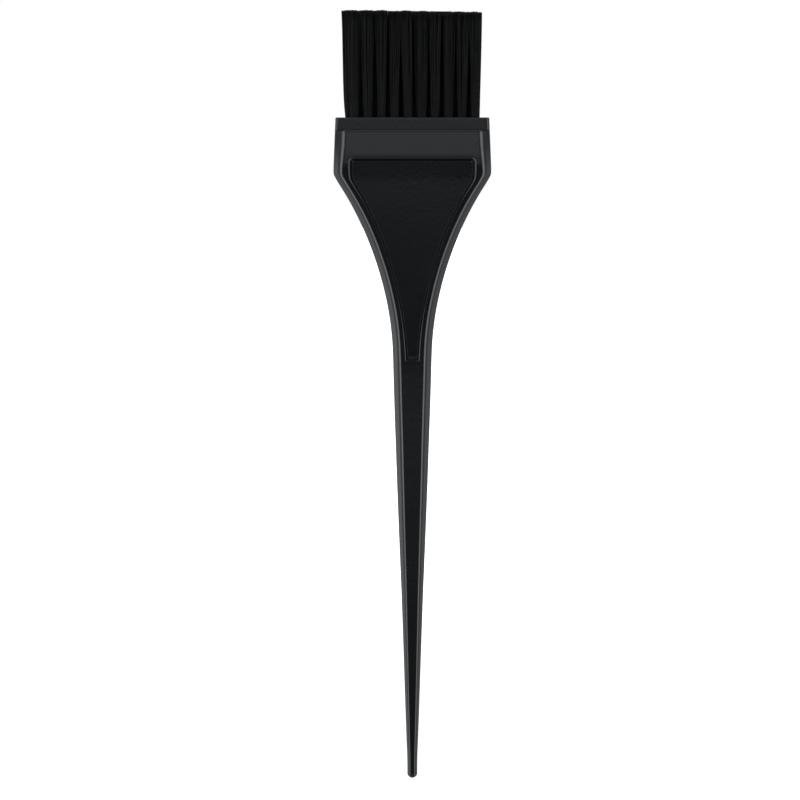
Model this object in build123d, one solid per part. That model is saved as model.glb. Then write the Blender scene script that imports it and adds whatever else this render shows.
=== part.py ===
from build123d import *

# Hair tint brush: one injection-moulded handle with a wide flat head, and
# thirty folded tufts of nylon filament held in three rows of blind holes,
# each by a flat wire anchor driven across its fold.
#
# Frame, in millimetres: the origin is the very end of the tail, +Z runs up
# the handle towards the bristles, X is across the width, and -Y is the front.
import math
import os

LENGTH = 215.0  # tail end to the trimmed tips
HEAD_TOP = 185.08  # the face the bristles come out of

CENTRED_ABOVE = (Align.CENTER, Align.CENTER, Align.MIN)
CENTRED_BELOW = (Align.CENTER, Align.CENTER, Align.MAX)

# ------------------------------------------------ lip around the top face
LIP_BOTTOM = 181.5
LIP_SINK = 0.9  # how far the lip's solid runs down into the body
LIP_HALF_THICK = 5.0
LIP_CORNER_R = 0.7
LIP_TOP_R = 0.3
LIP_HALF_WIDTH_TOP = 21.51
LIP_HALF_WIDTH_SUNK = 21.68  # at the sunk bottom end

# ------------------------------------------------------------ handle body
SIDE_SLOPE = 0.0405  # the head's sides open out by this much per mm downwards
SHOULDER_SOFT = 0.2  # rounding of the shoulder corner
SHOULDER_FROM = 150.0  # the flare is limited by the head's sides above this

LAND_EDGE_R = 0.45  # between the bevelled flank and the side land
STEP_ROUND = 0.34  # rounding of the body's edge where it steps in to the lip
STEP_ROUND_HEIGHT = 0.70  # and how far down the body it reaches
STEP_ROUND_START = LIP_BOTTOM - STEP_ROUND_HEIGHT
STEP_ROUND_ANGLES = (0, 22.5, 45, 67.5, 90)

# lofted runs of the body: bottom height, top height, number of spans
BODY_RUNS = [
    (-2.0, 108.0, 11),
    (108.0, 150.0, 9),
    (150.0, 167.8, 7),
    (167.8, 171.0, 8),
    (171.0, STEP_ROUND_START, 6),
]

TAIL_FRONT_R = 1.43  # round end of the tail, seen from the front
TAIL_SIDE_R = 1.2  # corner radius of the tail's end, seen from the side
TAIL_SIDE_THICK = 3.04  # overall length in Y of the slot shape that rounds it

# half width of the flare and the handle, by height
HALF_WIDTH = [
    (-4.0, 1.38), (0.0, 1.40), (5.2, 1.43), (11.9, 1.66), (18.6, 1.90),
    (25.4, 2.13), (32.1, 2.35), (38.8, 2.58), (45.5, 2.81), (52.2, 3.05),
    (59.0, 3.33), (65.7, 3.61), (72.4, 3.88), (79.1, 4.14), (85.9, 4.39),
    (92.6, 4.62), (99.3, 4.86), (106.0, 5.08), (111.6, 5.24), (116.7, 5.38),
    (121.7, 5.58), (126.8, 6.05), (131.8, 6.81), (136.8, 7.89), (141.9, 9.25),
    (146.9, 10.90), (151.4, 12.62), (155.9, 14.62), (160.4, 16.90),
    (163.7, 18.80), (167.1, 20.91), (170.5, 22.97), (186.0, 32.35),
]
# half thickness, by height
HALF_THICK = [
    (-4.0, 1.47), (0.0, 1.50), (10.0, 1.66), (30.0, 1.98), (60.0, 2.38),
    (90.0, 2.72), (106.0, 2.87), (114.0, 2.98), (120.0, 3.14), (126.0, 3.36),
    (133.0, 3.68), (141.0, 4.08), (150.0, 4.56), (160.0, 5.13), (167.0, 5.55),
    (170.0, 5.72), (172.5, 5.83), (174.5, 5.82), (177.0, 5.68), (181.5, 5.36),
    (183.0, 5.25),
]
# width of the bevelled flank, by height
FLANK_WIDTH = [
    (-4.0, 0.62), (0.0, 0.62), (8.0, 0.66), (16.4, 0.74), (24.8, 0.82),
    (36.0, 0.92), (50.0, 1.06), (64.0, 1.23), (75.2, 1.36), (86.4, 1.47),
    (97.6, 1.56), (106.0, 1.60), (121.4, 1.62), (136.8, 1.63), (153.6, 1.70),
    (162.0, 1.75), (168.2, 1.78), (171.6, 1.90), (174.4, 2.12), (178.0, 2.40),
    (181.5, 2.55), (183.0, 2.60),
]
# depth of the bevelled flank for each mm of its width, by height
FLANK_DROP = [
    (-4.0, 1.1), (150.0, 1.1), (160.0, 1.05), (168.0, 0.92), (172.0, 0.82),
    (176.0, 0.68), (181.5, 0.5), (183.0, 0.46),
]
# rounding between the flat face and the bevelled flank, by height
FACE_EDGE_R = [
    (0.0, 2.0), (160.0, 2.0), (170.0, 2.4), (176.0, 3.0), (181.5, 3.2), (183.0, 3.2),
]

# ----------------------------------------------------------- thumb recess
RECESS_TOP = 172.9  # top edge, at the floor
RECESS_RAMP_START = 117.9  # where the floor turns outwards,
RECESS_RAMP_END = 117.0  # and where it meets the handle's face
RECESS_RAMP_OVERRUN = 4.0  # the cutter follows the ramp this much further down
RECESS_WALL = math.tan(math.radians(25))  # wall draft from square
RECESS_CORNER_R = 0.9
RECESS_SIDE_MAX = 16.75  # half width where the sides run straight up
RECESS_SIDE_SOFT = 0.25
RECESS_WALL_DEPTHS = (1.2, 7.2)  # Y of the inner and outer ends of the walls
RECESS_CUT_TOP = 180.0  # ends of the cutter's side profile, clear of the body
RECESS_CUT_OUTER = 9.0
RECESS_CUT_HALF_WIDTH = 30.0

# half width at the floor, by height
RECESS_HALF = [
    (115.0, 1.12), (117.3, 1.20), (119.4, 1.34), (121.4, 1.48), (124.2, 1.76),
    (128.4, 2.32), (132.6, 3.06), (136.8, 3.95), (141.0, 5.02), (145.3, 6.28),
    (149.5, 7.62), (153.7, 9.22), (157.9, 11.12), (162.1, 13.26),
    (164.9, 14.94), (176.0, 21.60),
]
# distance of the floor from the mid-plane, by height
RECESS_FLOOR = [(112.0, 1.62), (173.0, 4.15), (180.0, 4.44)]
# heights the side curves pass through, below the top corners
RECESS_STATIONS = [
    RECESS_RAMP_END - 0.9, 119.0, 121.4, 124.2, 128.4, 132.6, 136.8, 141.0,
    145.3, 149.5, 153.7, 157.9, 161.0, 163.5, 165.3, 166.6, 167.6, 168.6, 169.6,
]

# ------------------------------------------------ tufts, holes and anchors
# each row's side of the mid-plane in Y, and its X stagger
ROWS = {"front": (-1, 0.75), "middle": (0, -0.75), "back": (1, 0.75)}
ROW_PITCH = 2.9
TUFTS_PER_ROW = 10
TUFT_PITCH = 3.76
TUFT_ROOT_R = 1.20  # bundle where it leaves the hole
TUFT_TIP_RX = 1.86  # bundle at its trimmed tip, across the width
TUFT_TIP_RY = 1.45  # and through the thickness
TIP_FAN_X = 1.004  # tip pitch over root pitch
TIP_FAN_Y = 0.40  # how far the outer rows lean out at their tips
TRIM_SLOPE = 0.013  # the trim falls this much per mm towards +X
TRIM_HIGH_X = -19.5  # where the trim is at the full length

HOLE_R = 1.25
HOLE_DEPTH = 8.5
HOLE_CHAMFER = 0.25  # around the blind end
MOUTH_R = 1.60
MOUTH_DEPTH = 0.50

# heights of the roots and anchors are depths below the head's top face
ROOT_R = 1.22
ROOT_BOTTOM = 8.3
ROOT_TOP = 1.30
ROOT_FILLET = 0.45
ANCHOR_WIDTH = 2.9  # wider than the hole, so both ends bite into its wall
ANCHOR_THICK = 0.35
ANCHOR_HEIGHT = 1.7
ANCHOR_BOTTOM = 7.6


# ----------------------------------------------------------------- curves
def curve(table, z):
    """Monotone cubic through a table of (height, value)."""
    last = len(table) - 1
    gaps = [table[k + 1][0] - table[k][0] for k in range(last)]
    grades = [(table[k + 1][1] - table[k][1]) / gaps[k] for k in range(last)]

    def slope(k):
        if k == 0:
            return grades[0]
        if k == last:
            return grades[-1]
        if grades[k - 1] * grades[k] <= 0:
            return 0.0
        below, above = gaps[k - 1], gaps[k]
        weighted = (2 * above + below) / grades[k - 1] + (above + 2 * below) / grades[k]
        return 3 * (below + above) / weighted

    i = max((k for k in range(last) if table[k][0] <= z), default=0)
    u = (z - table[i][0]) / gaps[i]
    return (
        (2 * u**3 - 3 * u**2 + 1) * table[i][1]
        + (u**3 - 2 * u**2 + u) * slope(i) * gaps[i]
        + (-2 * u**3 + 3 * u**2) * table[i + 1][1]
        + (u**3 - u**2) * slope(i + 1) * gaps[i]
    )


def soft_min(a, b, softness):
    """The smaller of two values, with the change from one to the other rounded."""
    return (a + b) / 2 - math.sqrt(((a - b) / 2) ** 2 + softness**2)


def half_width(z):
    flare = curve(HALF_WIDTH, z)
    if z <= SHOULDER_FROM:
        return flare
    side = LIP_HALF_WIDTH_TOP + SIDE_SLOPE * (HEAD_TOP - z)
    return soft_min(side, flare, SHOULDER_SOFT)


def recess_half(z):
    return soft_min(RECESS_SIDE_MAX, curve(RECESS_HALF, z), RECESS_SIDE_SOFT)


# ----------------------------------------------------------------- handle
def section(z, inset=0.0):
    """The handle's outline across its length: an octagon with rounded corners."""
    land_x = half_width(z)
    face_y = curve(HALF_THICK, z) - inset
    flank = curve(FLANK_WIDTH, z)
    drop = curve(FLANK_DROP, z) * flank - inset
    flank_x, land_y = land_x - flank, face_y - drop  # ends of the unrounded flank

    face_turn = math.atan2(drop, flank)  # face to flank
    land_turn = math.pi / 2 - face_turn  # flank to land
    face_tan, land_tan = math.tan(face_turn / 2), math.tan(land_turn / 2)
    face_r = min(curve(FACE_EDGE_R, z), 0.5 * flank / face_tan)
    land_r = min(LAND_EDGE_R, 0.6 * land_y / land_tan)
    face_cut, land_cut = face_r * face_tan, land_r * land_tan
    along_x, along_y = math.cos(face_turn), math.sin(face_turn)

    # one quarter: land arc (3 points), then face arc (3 points)
    quarter = [
        (land_x, land_y - land_cut),
        (
            land_x - land_r * (1 - math.cos(land_turn / 2)),
            land_y - land_cut + land_r * math.sin(land_turn / 2),
        ),
        (land_x - land_cut * along_x, land_y + land_cut * along_y),
        (flank_x + face_cut * along_x, face_y - face_cut * along_y),
        (
            flank_x - face_cut + face_r * math.sin(face_turn / 2),
            face_y - face_r * (1 - math.cos(face_turn / 2)),
        ),
        (flank_x - face_cut, face_y),
    ]
    quarters = []
    for sx, sy in ((1, 1), (-1, 1), (-1, -1), (1, -1)):
        points = [Vector(sx * x, sy * y, z) for x, y in quarter]
        quarters.append(points if sx == sy else points[::-1])

    edges = []
    for i, points in enumerate(quarters):
        next_start = quarters[(i + 1) % 4][0]
        edges += [
            Edge.make_three_point_arc(*points[:3]),
            Edge.make_line(points[2], points[3]),
            Edge.make_three_point_arc(*points[3:]),
            Edge.make_line(points[5], next_start),
        ]
    return Wire(edges)


def tail_keep(plane, end_shape, radius):
    """What one view of the tail's end keeps: the end shape and all above its centre."""
    end = extrude(plane * Pos(0, radius) * end_shape, amount=6, both=True)
    return end + Pos(0, 0, radius) * Box(60, 20, 220, align=CENTRED_ABOVE)


def blank():
    """The handle's body up to the lip, with the round end of the tail."""
    body = Part()
    for bottom, top, spans in BODY_RUNS:
        heights = [bottom + (top - bottom) * i / spans for i in range(spans + 1)]
        body += Solid.make_loft([section(z) for z in heights], ruled=False)
    rounded = []
    for angle in STEP_ROUND_ANGLES:
        turn = math.radians(angle)
        z = LIP_BOTTOM - STEP_ROUND_HEIGHT * (1 - math.sin(turn))
        rounded.append(section(z, STEP_ROUND * (1 - math.cos(turn))))
    body += Solid.make_loft(rounded, ruled=True)

    front = tail_keep(Plane.XZ, Circle(TAIL_FRONT_R), TAIL_FRONT_R)
    side = tail_keep(Plane.YZ, SlotOverall(TAIL_SIDE_THICK, 2 * TAIL_SIDE_R), TAIL_SIDE_R)
    return body & front & side


def lip():
    low = LIP_BOTTOM - LIP_SINK
    outline = Polyline(
        (-LIP_HALF_WIDTH_SUNK, low),
        (LIP_HALF_WIDTH_SUNK, low),
        (LIP_HALF_WIDTH_TOP, HEAD_TOP),
        (-LIP_HALF_WIDTH_TOP, HEAD_TOP),
        (-LIP_HALF_WIDTH_SUNK, low),
    )
    body = extrude(Plane.XZ * make_face(outline.edges()), amount=LIP_HALF_THICK, both=True)
    upright = [e for e in body.edges() if abs(e.tangent_at(0.5).Z) > 0.9]
    body = fillet(upright, LIP_CORNER_R)
    return fillet(body.faces().sort_by(Axis.Z)[-1].edges(), LIP_TOP_R)


def recess_outline(y):
    """Outline of the recess at distance y from the mid-plane, opened out by the draft."""

    def drafted(size, z):
        return size + (y - curve(RECESS_FLOOR, z)) * RECESS_WALL

    top = drafted(RECESS_TOP, RECESS_TOP)
    corner_z = top - RECESS_CORNER_R
    right = [Vector(drafted(recess_half(z), z), y, z) for z in RECESS_STATIONS + [corner_z]]
    left = [Vector(-p.X, y, p.Z) for p in right]
    corner_x = right[-1].X
    inner_x = corner_x - RECESS_CORNER_R
    bulge = RECESS_CORNER_R * (1 - math.sqrt(0.5))  # arc's middle in from the sharp corner
    right_mid = Vector(corner_x - bulge, y, top - bulge)
    left_mid = Vector(bulge - corner_x, y, top - bulge)
    right_top, left_top = Vector(inner_x, y, top), Vector(-inner_x, y, top)
    return Wire(
        [
            Edge.make_spline(right),
            Edge.make_three_point_arc(right[-1], right_mid, right_top),
            Edge.make_line(right_top, left_top),
            Edge.make_three_point_arc(left_top, left_mid, left[-1]),
            Edge.make_spline(left[::-1]),
            Edge.make_line(left[0], right[0]),
        ]
    )


def recess():
    """Cutter for the thumb recess on the back (+Y): drafted walls to a sloping floor."""
    walls = Solid.make_loft([recess_outline(y) for y in RECESS_WALL_DEPTHS], ruled=True)
    floor = curve(RECESS_FLOOR, RECESS_RAMP_START)
    face = curve(HALF_THICK, RECESS_RAMP_END)
    rise = (face - floor) / (RECESS_RAMP_START - RECESS_RAMP_END)
    low = RECESS_RAMP_END - RECESS_RAMP_OVERRUN
    floor_top = (curve(RECESS_FLOOR, RECESS_CUT_TOP), RECESS_CUT_TOP)
    above = Polyline(
        floor_top,
        (floor, RECESS_RAMP_START),
        (face + RECESS_RAMP_OVERRUN * rise, low),
        (RECESS_CUT_OUTER, low),
        (RECESS_CUT_OUTER, RECESS_CUT_TOP),
        floor_top,
    )
    profile = Plane.YZ * make_face(above.edges())
    over_floor = extrude(profile, amount=RECESS_CUT_HALF_WIDTH, both=True)
    return (Part() + walls) & over_floor


def hole_cutter():
    """One blind hole with its flared mouth, around Z, with the head's top face at 0."""
    flare = MOUTH_R - HOLE_R
    profile = Polyline(
        (0, MOUTH_DEPTH),
        (MOUTH_R + flare, MOUTH_DEPTH),  # the mouth's cone carried on above the face
        (MOUTH_R, 0),
        (HOLE_R, -MOUTH_DEPTH),
        (HOLE_R, -HOLE_DEPTH + HOLE_CHAMFER),
        (HOLE_R - HOLE_CHAMFER, -HOLE_DEPTH),
        (0, -HOLE_DEPTH),
        (0, MOUTH_DEPTH),
    )
    return revolve(Plane.XZ * make_face(profile.edges()), axis=Axis.Z)


# ------------------------------------------------------ tufts and anchors
def tuft_places(row):
    """Root (x, y) and tip (x, y, z) of each tuft of a row, from -X to +X."""
    side, stagger = ROWS[row]
    y = side * ROW_PITCH
    places = []
    for i in range(TUFTS_PER_ROW):
        x = stagger + (i - (TUFTS_PER_ROW - 1) / 2) * TUFT_PITCH
        tip_z = LENGTH - TRIM_SLOPE * (x - TRIM_HIGH_X)
        places.append(((x, y), (x * TIP_FAN_X, y + side * TIP_FAN_Y, tip_z)))
    return places


def anchor(x, y):
    plate = Box(ANCHOR_WIDTH, ANCHOR_THICK, ANCHOR_HEIGHT, align=CENTRED_ABOVE)
    return Pos(x, y, HEAD_TOP - ANCHOR_BOTTOM) * plate


def tuft_root(x, y):
    """The folded end of a tuft: its legs pass beside the anchor and join under it."""
    bundle = Cylinder(ROOT_R, ROOT_BOTTOM - ROOT_TOP, align=CENTRED_ABOVE)
    body = Pos(x, y, HEAD_TOP - ROOT_BOTTOM) * bundle
    body = fillet(body.edges().sort_by(Axis.Z)[0], ROOT_FILLET)
    return body - anchor(x, y)


def free_tuft(root, tip):
    """The bristles outside the hole: a half ball in the mouth, then a widening bundle."""
    x, y = root
    tip_x, tip_y, tip_z = tip
    bundle = loft(
        [
            Plane.XY.offset(HEAD_TOP) * Pos(x, y) * Circle(TUFT_ROOT_R),
            Plane.XY.offset(tip_z) * Pos(tip_x, tip_y) * Ellipse(TUFT_TIP_RX, TUFT_TIP_RY),
        ]
    )
    mouth = Pos(x, y, HEAD_TOP)
    ball = mouth * Sphere(TUFT_ROOT_R) & mouth * Box(4, 4, 2, align=CENTRED_BELOW)
    return bundle + ball


# ------------------------------------------------------------------ build
def one_solid(shape):
    solids = shape.solids()
    assert len(solids) == 1, len(solids)
    return solids[0]


def make_handle():
    handle = blank() + lip()
    back_recess = recess()
    handle = handle - back_recess
    handle = handle - mirror(back_recess, about=Plane.XZ)
    cutter = hole_cutter()
    for row in ROWS:
        roots = [root for root, _ in tuft_places(row)]
        handle = handle - [Pos(x, y, HEAD_TOP) * cutter for x, y in roots]
        handle = handle - [anchor(x, y) for x, y in roots]
    return handle


def export_group(shapes, name):
    export_step(Compound(children=[one_solid(s) for s in shapes]), f"parts/{name}.step")


def build():
    os.makedirs("parts", exist_ok=True)
    export_step(one_solid(make_handle()), "parts/handle.step")
    for row in ROWS:
        places = tuft_places(row)
        export_group([anchor(*root) for root, _ in places], f"{row}_row_anchors")
        export_group([tuft_root(*root) for root, _ in places], f"{row}_row_tuft_roots")
        for number, (root, tip) in enumerate(places, start=1):
            export_step(one_solid(free_tuft(root, tip)), f"parts/tuft_{row}_{number:02d}.step")


build()
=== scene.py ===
"""A slim black brush, upright on its tail: a moulded handle that flares into a flat head,
with three rows of ten nylon tufts held in the head's top face by brass anchors.

Shapes are in millimetres: the tail's end is at z = 0, +Z runs to the bristles, X is across
the width and the front faces -Y, towards the camera.
"""

import math
from types import SimpleNamespace

import bpy
import numpy as np
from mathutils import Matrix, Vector
from mathutils.geometry import delaunay_2d_cdt


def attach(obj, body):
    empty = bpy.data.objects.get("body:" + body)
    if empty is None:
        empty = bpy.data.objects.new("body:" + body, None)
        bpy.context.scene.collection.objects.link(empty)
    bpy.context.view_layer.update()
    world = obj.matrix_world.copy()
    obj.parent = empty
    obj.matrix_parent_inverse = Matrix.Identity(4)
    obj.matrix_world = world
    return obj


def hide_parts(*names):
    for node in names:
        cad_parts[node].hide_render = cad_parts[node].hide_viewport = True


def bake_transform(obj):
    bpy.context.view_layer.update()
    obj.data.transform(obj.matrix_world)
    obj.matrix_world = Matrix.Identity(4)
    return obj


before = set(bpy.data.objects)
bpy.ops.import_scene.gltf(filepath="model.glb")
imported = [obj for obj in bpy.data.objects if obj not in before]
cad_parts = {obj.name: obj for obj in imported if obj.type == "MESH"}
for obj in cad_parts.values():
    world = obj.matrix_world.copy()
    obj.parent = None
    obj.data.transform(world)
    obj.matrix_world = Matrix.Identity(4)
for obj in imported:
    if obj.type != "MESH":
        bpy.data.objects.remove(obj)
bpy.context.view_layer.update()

MM = 0.001

# ------------------------------------------------------------ handle: dimensions
# The lip is the block on top of the head that holds the tufts.
HEAD_TOP = 185.08
LIP_BOTTOM = 181.5
LIP_HALF_THICK = 5.0
LIP_HALF_W_TOP, LIP_HALF_W_BOTTOM = 21.51, 21.66
LIP_CORNER_R = 0.7
LIP_TOP_R, LIP_BOTTOM_R = 0.3, 0.10
STEP_ROUND, STEP_ROUND_HEIGHT = 0.34, 0.70  # rounding of the body's top edge, below the lip
SIDE_SLOPE = 0.0405  # widening of the head's sides downwards
SHOULDER_SOFT = 0.2
TAIL_R, TAIL_RY = 1.43, 1.2
LAND_R = 0.45  # corner between the sloped flank and the upright side, or land
RIDGE, RIDGE_FOOT = 0.035, 0.10  # height and half thickness of the ridge along each side
RIDGE_START, RIDGE_RUN = 3, 6  # z where the ridge starts, and the run to its full height

# A shallow recess in the front face and one in the back
RECESS_TOP = 172.9
RAMP_START, RAMP_END = 117.0, 117.35
RAMP_SAG = 0.5  # how much higher the lower end lies on the centreline
RAMP_SOFT = (0.03, 0.15)  # rounding at the ramp's start and end
WALL_DEG = 25
WALL_DRAFT = math.tan(math.radians(WALL_DEG))
WALL_TURN = math.radians(90 - WALL_DEG)
CORNER_R = 1.15
FOOT_R = 0.05
FOOT_CUT = FOOT_R * math.tan(WALL_TURN / 2)
FULL_ROUND_DEPTH = 0.7  # shallower cuts have smaller roundings
DISH, DISH_HALF_W = 0.34, 17.5  # extra depth of the floor, where the mouth is this wide
RECESS_SIDE_MAX, RECESS_SIDE_SOFT = 16.75, 0.25

# Every table below is (z, value).
HALF_WIDTH = [
    (-4.0, 1.38), (0.0, 1.40), (5.2, 1.43), (11.9, 1.66), (18.6, 1.90),
    (25.4, 2.13), (32.1, 2.35), (38.8, 2.58), (45.5, 2.81), (52.2, 3.05),
    (59.0, 3.33), (65.7, 3.61), (72.4, 3.88), (79.1, 4.14), (85.9, 4.39),
    (92.6, 4.62), (99.3, 4.86), (106.0, 5.08), (111.6, 5.24), (116.7, 5.38),
    (121.7, 5.58), (126.8, 6.05), (131.8, 6.81), (136.8, 7.89), (141.9, 9.25),
    (146.9, 10.90), (151.4, 12.62), (155.9, 14.62), (160.4, 16.90),
    (163.7, 18.80), (167.1, 20.91), (170.5, 22.97), (186.0, 32.35),
]
HALF_THICK = [
    (-4.0, 1.47), (0.0, 1.50), (10.0, 1.66), (30.0, 1.98), (60.0, 2.38),
    (90.0, 2.72), (106.0, 2.87), (114.0, 2.98), (120.0, 3.14), (126.0, 3.36),
    (133.0, 3.68), (141.0, 4.08), (150.0, 4.56), (160.0, 5.13), (167.0, 5.55),
    (170.0, 5.72), (172.5, 5.83), (174.5, 5.82), (177.0, 5.68), (181.5, 5.36),
    (183.0, 5.25),
]
# Width of the sloped flank, and its fall across that width
FLANK = [
    (-4.0, 0.62), (0.0, 0.62), (8.0, 0.66), (16.4, 0.74), (24.8, 0.82),
    (36.0, 0.92), (50.0, 1.06), (64.0, 1.23), (75.2, 1.36), (86.4, 1.47),
    (97.6, 1.56), (106.0, 1.60), (121.4, 1.62), (136.8, 1.63), (153.6, 1.70),
    (162.0, 1.75), (168.2, 1.78), (171.6, 1.90), (174.4, 2.12), (178.0, 2.40),
    (181.5, 2.55), (183.0, 2.60),
]
FLANK_DROP = [
    (-4.0, 1.1), (150.0, 1.1), (160.0, 1.05), (168.0, 0.92), (172.0, 0.82),
    (176.0, 0.68), (181.5, 0.5), (183.0, 0.46),
]
FACE_EDGE_R = [
    (0.0, 2.0), (160.0, 2.0), (170.0, 2.4), (176.0, 3.0), (181.5, 3.2), (183.0, 3.2),
]
# Half width of the recess at its floor, the floor's distance from the centre plane, and the
# radius of the edge round the mouth
RECESS_HALF = [
    (115.0, 1.12), (117.3, 1.20), (119.4, 1.34), (121.4, 1.48), (124.2, 1.76),
    (128.4, 2.32), (132.6, 3.06), (136.8, 3.95), (141.0, 5.02), (145.3, 6.28),
    (149.5, 7.62), (153.7, 9.22), (157.9, 11.12), (162.1, 13.26),
    (164.9, 14.94), (176.0, 21.60),
]
RECESS_FLOOR = [(112.0, 1.62), (173.0, 4.15), (180.0, 4.44)]
RECESS_EDGE_R = [
    (110.0, 0.42), (121.0, 0.40), (128.4, 0.20), (134.0, 0.10), (145.0, 0.06), (158.0, 0.07),
    (165.5, 0.30), (169.0, 0.58), (176.0, 0.66),
]

# Points along each stretch of a section, from the centreline to the side
EDGE_POINTS, FLOOR_STEPS, FOOT_STEPS = 6, 12, 6
BORDER_POINTS, ARC_STEPS, FLANK_POINTS, LAND_POINTS = 4, 6, 4, 4
# Rows of the body above the round tail: (end z, step)
BODY_SPANS = [
    (113.0, 1.2), (116.0, 0.3), (116.8, 0.1), (118.2, 0.05), (119.4, 0.1), (166.0, 0.7),
    (171.6, 0.22), (172.4, 0.12), (174.0, 0.06), (LIP_BOTTOM - STEP_ROUND_HEIGHT, 0.5),
]
TAIL_STEPS, STEP_ROUND_STEPS = 14, 7
LIP_BOTTOM_STEPS, LIP_SIDE_STEPS, LIP_TOP_STEPS = 4, 7, 6

# -------------------------------------------------------------- tufts: dimensions
TUFTS = 10
PITCH = 3.76
ROW_GAP = 2.9
# number seeds the row; shift moves it in x. The rest is how its tufts vary: least growth in
# width, sideways lean, range of the opening exponent, sideways jitter of the strands and
# strength of the bundling.
ROWS = {
    "front": SimpleNamespace(
        number=0, y=-ROW_GAP, shift=0.75,
        least_growth=0.80, lean=0.22, opening=(0.50, 1.5), jitter=0.11, loose=1.0,
    ),
    "middle": SimpleNamespace(
        number=1, y=0.0, shift=-0.75,
        least_growth=0.95, lean=0.08, opening=(0.45, 0.8), jitter=0.17, loose=0.0,
    ),
    "back": SimpleNamespace(
        number=2, y=ROW_GAP, shift=0.75,
        least_growth=0.95, lean=0.08, opening=(0.45, 0.8), jitter=0.17, loose=0.5,
    ),
}
LENGTH = 215.0
FAN_X, FAN_Y = 1.004, 0.40  # tips: factor on x, and outward shift of the outer rows in y
TRIM_SLOPE, TRIM_X = 0.013, -19.5  # the tips fall towards +X, from LENGTH at TRIM_X
HOLE_R, HOLE_DEPTH = 1.25, 8.5
HOLE_MOUTH_R, HOLE_MOUTH_DEPTH = 1.60, 0.50
HOLE_SEGMENTS = 40
ANCHOR_BOTTOM, ANCHOR_THICK = 7.6, 0.35


# --------------------------------------------------------------- handle: sections
def curve(table, z):
    """Monotone cubic through a table, carried on straight past its ends."""
    last = len(table) - 1
    i = max((k for k in range(last) if table[k][0] <= z), default=0)
    rates = [(v1 - v0) / (z1 - z0) for (z0, v0), (z1, v1) in zip(table, table[1:])]

    def slope(k):
        if k in (0, last):
            return rates[min(k, last - 1)]
        if rates[k - 1] * rates[k] <= 0:
            return 0.0
        before = table[k][0] - table[k - 1][0]
        after = table[k + 1][0] - table[k][0]
        weights = (2 * after + before) / rates[k - 1] + (after + 2 * before) / rates[k]
        return 3 * (before + after) / weights

    (z0, v0), (z1, v1) = table[i], table[i + 1]
    span = z1 - z0
    u = (z - z0) / span
    if u < 0:
        return v0 + slope(i) * (z - z0)
    if u > 1:
        return v1 + slope(i + 1) * (z - z1)
    return (
        (2 * u**3 - 3 * u**2 + 1) * v0
        + (u**3 - 2 * u**2 + u) * (slope(i) * span)
        + (-2 * u**3 + 3 * u**2) * v1
        + (u**3 - u**2) * (slope(i + 1) * span)
    )


def spaced(start, span, count):
    """Evenly spaced values after start, up to start + span."""
    return [start + span * (k + 1) / count for k in range(count)]


def between(first, second, count):
    """Evenly spaced points strictly between two others."""
    (x0, y0), (x1, y1) = first, second
    shares = [(k + 1) / (count + 1) for k in range(count)]
    return [(x0 + (x1 - x0) * u, y0 + (y1 - y0) * u) for u in shares]


def soft_min(a, b, soft):
    return (a + b) / 2 - math.sqrt(((a - b) / 2) ** 2 + soft * soft)


def soft_clamp(u, soft_low, soft_high):
    """0 below 0 and 1 above 1, with rounded corners."""

    def soft_positive(value, soft):
        return (value + math.sqrt(value * value + soft * soft)) / 2

    return max(0.0, soft_positive(u, soft_low) - soft_positive(u - 1, soft_high))


def half_width(z):
    side = LIP_HALF_W_TOP + SIDE_SLOPE * (HEAD_TOP - z)
    flare = curve(HALF_WIDTH, z)
    return soft_min(side, flare, SHOULDER_SOFT) if z > 150 else flare


def recess_depth(z):
    return curve(HALF_THICK, z) - curve(RECESS_FLOOR, z)


def recess_mouth(z):
    """Half width of the recess at the face."""
    floor_half = soft_min(RECESS_SIDE_MAX, curve(RECESS_HALF, z), RECESS_SIDE_SOFT)
    return floor_half + recess_depth(z) * WALL_DRAFT


MOUTH_TOP = RECESS_TOP + recess_depth(RECESS_TOP) * WALL_DRAFT


def wall_depth(gap, depth, edge_r):
    """Depth of the cut at a distance inside the mouth: a rounded edge, a drafted wall and a
    filleted foot."""
    if depth <= 1e-6:
        return 0.0
    scale = min(1.0, depth / FULL_ROUND_DEPTH)
    edge_r, foot_r, foot_cut = edge_r * scale, FOOT_R * scale, FOOT_CUT * scale
    edge_cut = edge_r * math.tan(WALL_TURN / 2)
    foot_end = depth * WALL_DRAFT + foot_cut
    if gap <= -edge_cut:
        return 0.0
    if gap < -edge_cut + edge_r * math.sin(WALL_TURN):
        return edge_r - math.sqrt(max(0.0, edge_r * edge_r - (gap + edge_cut) ** 2))
    if gap >= foot_end:
        return depth
    if gap > foot_end - foot_r * math.sin(WALL_TURN):
        return depth - foot_r + math.sqrt(max(0.0, foot_r * foot_r - (foot_end - gap) ** 2))
    return gap / WALL_DRAFT


def recess_cut(x, z, side_gap, mouth_x, full_depth, edge_r):
    """How far the recess lies below the face, side_gap in from the mouth's side."""
    top_gap = MOUTH_TOP - z
    if z <= RAMP_START - 0.6 or top_gap <= -1:
        return 0.0
    if side_gap < CORNER_R and top_gap < CORNER_R:
        gap = CORNER_R - math.hypot(CORNER_R - side_gap, CORNER_R - top_gap)
    else:
        gap = min(side_gap, top_gap)
    bulge = max(0.0, 1 - (x / mouth_x) ** 2)
    rise = (z - RAMP_START - RAMP_SAG * bulge) / (RAMP_END - RAMP_START)
    ramp = soft_clamp(rise, *RAMP_SOFT)
    depth = full_depth * ramp
    cut = wall_depth(gap, depth, edge_r)
    if depth > 0.02:
        dish = DISH * (mouth_x / DISH_HALF_W) ** 1.5 * bulge * ramp
        cut += dish * min(1.0, cut / depth) ** 2
    return cut


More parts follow.
